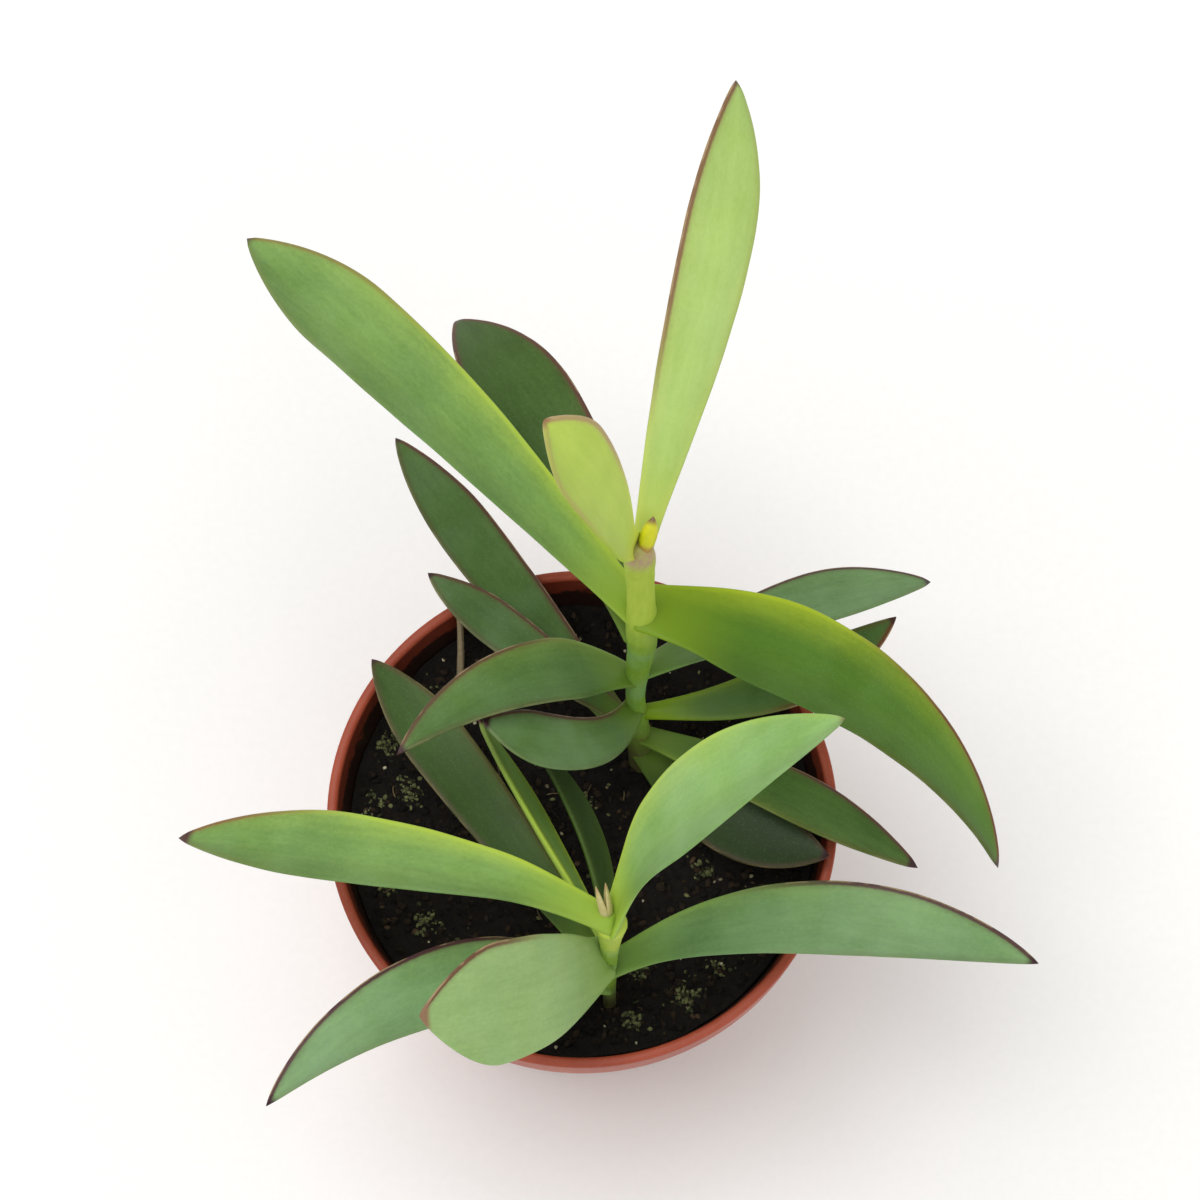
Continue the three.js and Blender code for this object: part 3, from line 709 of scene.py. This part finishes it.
def make_stem(name, material):
    """A fleshy stem, wider where leaf sheaths wrap it, with scars at its lower nodes."""
    shoot = SHOOTS[name]
    across, along = shoot_axes(shoot)[1:]
    girth = stem_girth(name)
    top = girth.heights[-1]
    low_nodes = [node for node in shoot["nodes"] if node < SKIN["low_share"] * top]
    sides = SKIN["sides"]
    rings = int((top + shoot["depth"]) / SKIN["step"])
    points, age, scar, blush = [], [], [], []
    for i in range(rings + 1):
        up = -shoot["depth"] + (top + shoot["depth"]) * i / rings
        dome = min(1, math.sqrt(max(top - up, 0.02) / SKIN["dome"]))
        radius = girth.at(up) * dome
        centre = shoot_point(shoot, up) + stem_bow(name, up)
        old = 1 - max(up, 0) / top
        blushed = (up - top + SKIN["blush_drop"]) / SKIN["blush_reach"]
        pink = math.exp(-blushed ** 2) if name == "tall" else 0
        scarred = [(up - node + SKIN["scar_drop"]) / SKIN["scar_reach"] for node in low_nodes]
        near = max(math.exp(-distance ** 2) for distance in scarred)
        for j in range(sides):
            angle = 2 * math.pi * j / sides
            rough = 1 + SKIN["roughness"] * drift(3, up * 0.6)
            rough += SKIN["roughness"] * math.cos(2 * angle + up * 0.1)
            spot = centre + (across * math.cos(angle) + along * math.sin(angle)) * radius * rough
            points.append(spot)
            age.append(old)
            blush.append(pink)
            scar.append(near * (0.6 + 0.4 * math.sin(angle * 2 + up)))
    attributes = (("age", age), ("scar", scar), ("blush", blush))
    piece = mesh_object(f"shoot_{name}", points, ring_faces(rings + 1, sides), material, attributes)
    dress(piece, "stem", f"stem_{name}")


# The buds are pairs of small leaves pressed together. offset is from the top of
# the stem, heading that of the first leaf of the pair, and the pair leans
# towards +X and +Y by these angles. Each leaf spreads from upright by BUD_SPREAD,
# in degrees, and the pair's foot is BUD_SUNK below the stem's top.
BUDS = {
    "tall": dict(
        offset=(0.6, 0.1), length=4.8, width=2.1, heading=-70, lean=12, lean_back=40, droop=-16,
        widest=0.45, slot="bud_yellow",
    ),
    "front": dict(
        offset=(-0.4, 0.3), length=5.6, width=1.3, heading=20, lean=-10, lean_back=38, droop=-2,
        widest=0.35, slot="bud_pale",
    ),
}
BUD_SPREAD = 7
BUD_SUNK = 0.9
BUD_BASE = 0.7
BUD_FULLNESS = 0.8
BUD_SEED = 40


def make_bud(name, material):
    bud = BUDS[name]
    shoot = SHOOTS[name]
    halves = []
    for side in (0, 1):
        leaf = Leaf(
            name, 0, bud["heading"] + 180 * side, 90 - BUD_SPREAD, bud["length"], bud["width"],
            bud["droop"], 0, 0, 0, bud["widest"], BUD_BASE, "young",
        )
        seed = BUD_SEED + side
        halves.append(
            blade_mesh(f"bud_{name}_{side}", leaf, (0, 0, 0), material, seed, BUD_FULLNESS, sunk=())
        )
    bpy.ops.object.select_all(action="DESELECT")
    for half in halves:
        half.select_set(True)
    bpy.context.view_layer.objects.active = halves[0]
    bpy.ops.object.join()
    piece = halves[0]
    piece.name = f"bud_leaves_{name}"
    up = SKINS[name]["girth"][-1][0] - BUD_SUNK
    foot = shoot_point(shoot, up) + stem_bow(name, up) + np.array([*bud["offset"], 0])
    lean = Matrix.Rotation(math.radians(bud["lean"]), 4, "Y")
    lean = Matrix.Rotation(-math.radians(bud["lean_back"]), 4, "X") @ lean
    piece.data.transform(Matrix.Translation(foot * MM) @ lean)
    dress(piece, bud["slot"], f"bud_{name}")


def pot_outer(z):
    under = POT["rim_radius"] - POT["collar_taper"] - POT["collar_step"]
    return POT["base_radius"] + (under - POT["base_radius"]) * z / (POT["height"] - POT["collar_height"])


def pot_inner(z):
    foot = POT["base_radius"] - POT["wall"]
    share = (z - POT["floor"]) / (POT["height"] - POT["floor"])
    return foot + (POT["rim_radius"] - POT["rim_width"] - foot) * share


def on_inner_wall(radius, z, slack):
    """Whether a point of the pot is on its inner wall, between floor and rim."""
    return POT["floor"] + 0.1 < z < POT["height"] - 0.5 and radius < pot_inner(z) + slack


def rounded(corners, steps=5):
    """A profile whose inner corners, given as (radius, height, rounding), are curves."""
    line = [corners[0][:2]]
    for before, corner, after in zip(corners, corners[1:], corners[2:]):
        here = np.array(corner[:2], float)
        if corner[2] == 0:
            line.append(tuple(here))
            continue
        to_before = np.array(before[:2], float) - here
        to_after = np.array(after[:2], float) - here
        start = here + to_before / np.linalg.norm(to_before) * corner[2]
        end = here + to_after / np.linalg.norm(to_after) * corner[2]
        for i in range(steps + 1):
            t = i / steps
            line.append(tuple((1 - t) ** 2 * start + 2 * t * (1 - t) * here + t * t * end))
    line.append(corners[-1][:2])
    return line


def make_pot(material):
    """The pot turned about its axis, with a rounded rim, a collar and drain holes."""
    foot = POT["height"] - POT["collar_height"]
    collar = POT["rim_radius"] - POT["collar_taper"]
    inner = POT["rim_radius"] - POT["rim_width"]
    middle = 0.6
    profile = rounded([
        (middle, 0, 0),
        (POT["base_radius"], 0, 1.1),
        (pot_outer(foot - 0.7), foot - 0.7, 0.5),
        (collar, foot - 0.2, 0.35),
        (POT["rim_radius"], POT["height"], 0.55),
        (inner, POT["height"], 0.55),
        (POT["base_radius"] - POT["wall"], POT["floor"], 1.2),
        (middle, POT["floor"], 0),
    ])
    sides = 160
    points, inside = [], []
    for radius, z in profile:
        wall = on_inner_wall(radius, z, 0.25)
        for j in range(sides):
            angle = 2 * math.pi * j / sides
            points.append((radius * math.cos(angle), radius * math.sin(angle), z))
            inside.append(1.0 if wall else 0.0)
    attributes = (("inside", inside), ("dust_and_shade", [0.0] * len(points)))
    piece = mesh_object("pot_body", points, ring_faces(len(profile), sides), material, attributes)
    split_wall(piece)
    drill(piece)
    dress(piece, "pot", "pot")


def split_wall(piece):
    """Rings on the inner wall above the soil, where dust and painted shade lie, so that its numbers vary
    there.
    """
    mesh = piece.data
    shell = bmesh.new()
    shell.from_mesh(mesh)
    inside = shell.verts.layers.float["inside"]
    dust_and_shade = shell.verts.layers.float["dust_and_shade"]
    ring_step = 1.4
    dust_and_shade_depth = 6
    for height in (SOIL["top"] - 1, *(SOIL["top"] + ring_step * i for i in range(1, 7))):
        geometry = shell.verts[:] + shell.edges[:] + shell.faces[:]
        bmesh.ops.bisect_plane(shell, geom=geometry, plane_co=(0, 0, height * MM), plane_no=(0, 0, 1))
    for vertex in shell.verts:
        radius = math.hypot(vertex.co.x, vertex.co.y) / MM
        z = vertex.co.z / MM
        if on_inner_wall(radius, z, 0.3):
            vertex[inside] = 1.0
            vertex[dust_and_shade] = min(1.0, max(0.0, (POT["height"] - 1 - z) / dust_and_shade_depth))
    shell.to_mesh(mesh)
    shell.free()
    mesh.polygons.foreach_set("use_smooth", [True] * len(mesh.polygons))


def drill(piece):
    """Cuts the drain holes."""
    cutter_points, cutter_faces = [], []
    sides = 28
    for i in range(DRAIN["count"]):
        turn = 2 * math.pi * i / DRAIN["count"]
        first = len(cutter_points)
        for z in (-3, 5):
            for j in range(sides):
                angle = 2 * math.pi * j / sides
                cutter_points.append((
                    DRAIN["ring"] * math.cos(turn) + DRAIN["radius"] * math.cos(angle),
                    DRAIN["ring"] * math.sin(turn) + DRAIN["radius"] * math.sin(angle), z,
                ))
        cutter_faces += ring_faces(2, sides, first=first)
    cutter = mesh_object("drill", cutter_points, cutter_faces, piece.data.materials[0], smooth=False)
    cut = piece.modifiers.new("drain", "BOOLEAN")
    cut.operation = "DIFFERENCE"
    cut.solver = "EXACT"
    cut.object = cutter
    apply_modifiers(piece)
    bpy.data.objects.remove(cutter)


def apply_modifiers(piece):
    evaluated = piece.evaluated_get(bpy.context.evaluated_depsgraph_get())
    mesh = bpy.data.meshes.new_from_object(evaluated)
    piece.modifiers.clear()
    piece.data = mesh


def soil_radius():
    """The soil's radius at its banked-up edge."""
    return pot_inner(SOIL["top"] + SOIL["bank"]) - SOIL["wall_gap"]


def soil_height(x, y):
    """The gentle shape of the part's own soil, and lumps and crumbs on it."""
    swell = SOIL["swell"] * math.sin(0.17 * x + 0.8) * math.cos(0.14 * y - 0.4)
    ripple = SOIL["ripple"] * math.sin(0.61 * x - 0.47 * y + 1.1) * math.cos(0.52 * y + 0.2)
    lumps = 0.0
    for size, depth in ((3.4, 0.55), (1.5, 0.4), (0.75, 0.22)):
        lumps += depth * noise.noise(Vector((x / size, y / size, size * 9)))
    crumbs = 0.35 * (0.5 - noise.voronoi(Vector((x / 1.1, y / 1.1, 4)))[0][0])
    nearness = max(0, 1 - (soil_radius() - math.hypot(x, y)) / SOIL["bank_reach"])
    return SOIL["top"] + swell + ripple + lumps + crumbs + SOIL["bank"] * nearness ** 2


def make_soil(material):
    """A disc of peat with a lumpy top, closed below."""
    radius = soil_radius()
    rings = 96
    sides = 288
    low = SOIL["top"] - SOIL_DEPTH
    points = [(0, 0, soil_height(0, 0))]
    for i in range(1, rings + 1):
        reach = radius * i / rings
        for j in range(sides):
            angle = 2 * math.pi * (j + 0.5 * (i % 2)) / sides
            x = reach * math.cos(angle)
            y = reach * math.sin(angle)
            points.append((x, y, soil_height(x, y)))
    below = len(points)
    low_radius = pot_inner(low) - SOIL["wall_gap"]
    for j in range(sides):
        angle = 2 * math.pi * j / sides
        points.append((low_radius * math.cos(angle), low_radius * math.sin(angle), low))
    faces = [(0, 1 + j, 1 + (j + 1) % sides) for j in range(sides)]
    for i in range(rings - 1):
        a = 1 + i * sides
        for j in range(sides):
            k = (j + 1) % sides
            faces.append((a + j, a + sides + j, a + sides + k, a + k))
    last = 1 + (rings - 1) * sides
    for j in range(sides):
        k = (j + 1) % sides
        faces.append((last + j, below + j, below + k, last + k))
    faces.append(tuple(below + j for j in range(sides)))
    piece = mesh_object("soil_bed", points, faces, material, (("tint", [0.4] * len(points)),))
    dress(piece, "soil", "soil")


def lump(size, flatness, generator):
    """An irregular small lump: vertices about its middle, and faces."""
    shell = bmesh.new()
    bmesh.ops.create_icosphere(shell, subdivisions=1, radius=1.0)
    shift = Vector(generator.uniform(-50, 50, 3))
    for vertex in shell.verts:
        direction = vertex.co.normalized()
        vertex.co = direction * (0.75 + 0.6 * noise.noise(direction * 1.7 + shift))
    turn = Matrix.Rotation(generator.uniform(0, 2 * math.pi), 3, "Z")
    tilt = Matrix.Rotation(generator.uniform(-0.6, 0.6), 3, "X")
    stretch = Matrix.Diagonal(Vector((size, size * generator.uniform(0.55, 1), size * flatness)))
    points = [turn @ tilt @ stretch @ vertex.co for vertex in shell.verts]
    faces = [tuple(vertex.index for vertex in face.verts) for face in shell.faces]
    shell.free()
    return points, faces


def scatter(name, slot, material, generator, spots, sizes, flatness=0.7):
    """Lumps at the given spots on the soil, in one piece.

    sizes is the range of their half lengths in millimetres, and flatness their
    height as a share of their length.
    """
    points, faces, tints = [], [], []
    for x, y in spots:
        size = generator.uniform(*sizes)
        corners, sides = lump(size, flatness, generator)
        first = len(points)
        middle = Vector((x, y, soil_height(x, y) + size * flatness * (0.5 - SINK)))
        points += [middle + corner for corner in corners]
        faces += [tuple(first + i for i in side) for side in sides]
        tints += [generator.uniform(0, 1)] * len(corners)
    piece = mesh_object(name, points, faces, material, (("tint", tints),))
    dress(piece, slot)


def spots_all_over(generator, count, reach):
    """Random spots on a disc."""
    radius = reach * np.sqrt(generator.uniform(0, 1, count))
    angle = generator.uniform(0, 2 * math.pi, count)
    return list(zip(radius * np.cos(angle), radius * np.sin(angle)))


def spots_in_patches(generator, patches, reach):
    """Random spots about the middles of patches, each (x, y, spread, count)."""
    spots = []
    for x, y, spread, count in patches:
        for dx, dy in generator.normal(0, spread, (count, 2)):
            if math.hypot(x + dx, y + dy) < reach:
                spots.append((x + dx, y + dy))
    return spots


def make_fibres(name, slot, material, generator, count, reach, lengths, radius):
    """Thin bent fibres that lie on the soil."""
    points, faces, tints = [], [], []
    sides = 4
    steps = 6
    for x, y in spots_all_over(generator, count, reach):
        heading = generator.uniform(0, 2 * math.pi)
        length = generator.uniform(*lengths)
        bend = generator.uniform(-1.2, 1.2)
        tint = generator.uniform(0, 1)
        first = len(points)
        spot = Vector((x, y, 0))
        for i in range(steps + 1):
            share = i / steps
            angle = heading + bend * share
            ahead = Vector((math.cos(angle), math.sin(angle), 0))
            aside = Vector((-ahead.y, ahead.x, 0))
            lift = 0.25 + 0.5 * math.sin(math.pi * share)
            if math.hypot(spot.x, spot.y) > reach:
                spot -= ahead * length / steps
            middle = Vector((spot.x, spot.y, soil_height(spot.x, spot.y) + lift))
            thick = radius * (1 - 0.5 * share)
            for j in range(sides):
                turn = 2 * math.pi * j / sides
                rise = Vector((0, 0, thick * math.sin(turn)))
                points.append(middle + aside * thick * math.cos(turn) + rise)
            spot += ahead * length / steps
        faces += ring_faces(steps + 1, sides, first=first)
        tints += [tint] * (sides * (steps + 1))
    piece = mesh_object(name, points, faces, material, (("tint", tints),))
    dress(piece, slot)


def make_ground_cover():
    """What lies on the soil: crumbs of peat, pale bits, fibres and specks of moss."""
    generator = np.random.default_rng(7)
    reach = soil_radius() - 1.0
    peat = soil_material("peat_crumbs", "#0d0a07", "#3a2c1c", 0.25)
    scatter("peat_crumbs", "soil", peat, generator, spots_all_over(generator, 1500, reach), (0.3, 0.95))
    bark = bit_material("bark_bits", "#1d140c", "#4f3a24", 0.85)
    scatter("bark_bits", "soil", bark, generator, spots_all_over(generator, 140, reach), (0.35, 0.8), 0.4)
    pale = bit_material("pale_bits", "#6f644a", "#c9c0a2", 0.85)
    scatter("pale_bits", "soil", pale, generator, spots_all_over(generator, 110, reach), (0.14, 0.42))
    moss = bit_material("moss", "#23290f", "#74774a", 0.95)
    spots = spots_in_patches(generator, MOSS_PATCHES, reach) + spots_all_over(generator, 90, reach)
    scatter("moss_specks", "soil", moss, generator, spots, (0.18, 0.55), 0.6)
    straw = bit_material("fibres", "#2a1e12", "#7a6a48", 0.9)
    make_fibres("fibres", "soil", straw, generator, 30, reach, (1.2, 3.4), 0.1)


def make_stalk(material):
    """The withered stalk: a thin ridged stick, bent and torn at its top."""
    sides = 14
    steps = 40
    lean = math.tan(math.radians(STALK["lean_back"]))
    points = []
    for i in range(steps + 1):
        up = -STALK["depth"] + (STALK["depth"] + STALK["length"]) * i / steps
        share = max(up, 0) / STALK["length"]
        bend = 0.25 * math.sin(2.4 * share)
        centre = Vector((STALK["foot"][0] + bend, STALK["foot"][1] + lean * up, SOIL["top"] + up))
        for j in range(sides):
            angle = 2 * math.pi * j / sides
            ridge = 1 + 0.18 * math.sin(5 * angle + 1.5 * share) + 0.12 * drift(j + 1, up * 1.4)
            radius = STALK["radius"] * (1 - 0.35 * share) * ridge
            tear = 0.5 * drift(j * 3 + 2, 1.0) if i == steps else 0
            points.append(centre + Vector((radius * math.cos(angle), radius * math.sin(angle), tear)))
    piece = mesh_object(
        "withered_stalk", points, ring_faces(steps + 1, sides), material,
        (("tint", [0.5] * len(points)),),
    )
    dress(piece, "dry_stalk", "dry_stalk")


def make_floor():
    size = FLOOR["half_side"]
    corners = [(-size, -size, 0), (size, -size, 0), (size, size, 0), (-size, size, 0)]
    floor = mesh_object("floor", np.array(corners) / MM, [(0, 1, 2, 3)], floor_material(), smooth=False)
    floor.location.z = -FLOOR["drop"]


def make_light(name, place, size, power):
    data = bpy.data.lights.new(name, "AREA")
    data.shape = "DISK"
    data.size = size
    data.energy = power
    lamp = bpy.data.objects.new(name, data)
    lamp.location = place
    aim = Vector(LIGHT_TARGET) - Vector(place)
    lamp.rotation_euler = aim.to_track_quat("-Z", "Y").to_euler()
    lamp.visible_camera = False
    bpy.context.scene.collection.objects.link(lamp)


def make_studio():
    """Soft white light from above and a little left, and an even pale surround."""
    world = bpy.data.worlds.new("studio")
    bpy.context.scene.world = world
    world.use_nodes = True
    background = world.node_tree.nodes["Background"]
    background.inputs["Color"].default_value = colour(WORLD["colour"])
    background.inputs["Strength"].default_value = WORLD["strength"]
    for light in LIGHTS:
        make_light(**light)
    bpy.context.scene.view_settings.view_transform = "Standard"


def make_camera():
    data = bpy.data.cameras.new("camera")
    data.lens = CAMERA["lens"]
    data.sensor_width = CAMERA["sensor"]
    camera = bpy.data.objects.new("camera", data)
    camera.location = Vector(CAMERA["place"]) * MM
    camera.rotation_euler = (math.radians(90 - CAMERA["elevation"]), 0, 0)
    bpy.context.scene.collection.objects.link(camera)
    bpy.context.scene.camera = camera


make_pot(pot_material())
make_soil(soil_material("peat", "#0f0b08", "#2c2016", 0.3))
make_ground_cover()
make_stalk(bit_material("withered", "#6f5c40", "#c2b08c", 0.9))
skin = stem_material()
for shoot_name in SHOOTS:
    make_stem(shoot_name, skin)
for leaf_index, leaf_name in enumerate(LEAVES):
    make_leaf(leaf_index, leaf_name)
make_bud("tall", bud_material("bud_yellow", "#dcd81a", "#c6c814", "#b08a3c", "#7c5a38"))
make_bud("front", bud_material("bud_pale", "#cfbf90", "#b0a866", "#9cae50", "#b09070"))
make_floor()
make_studio()
make_camera()
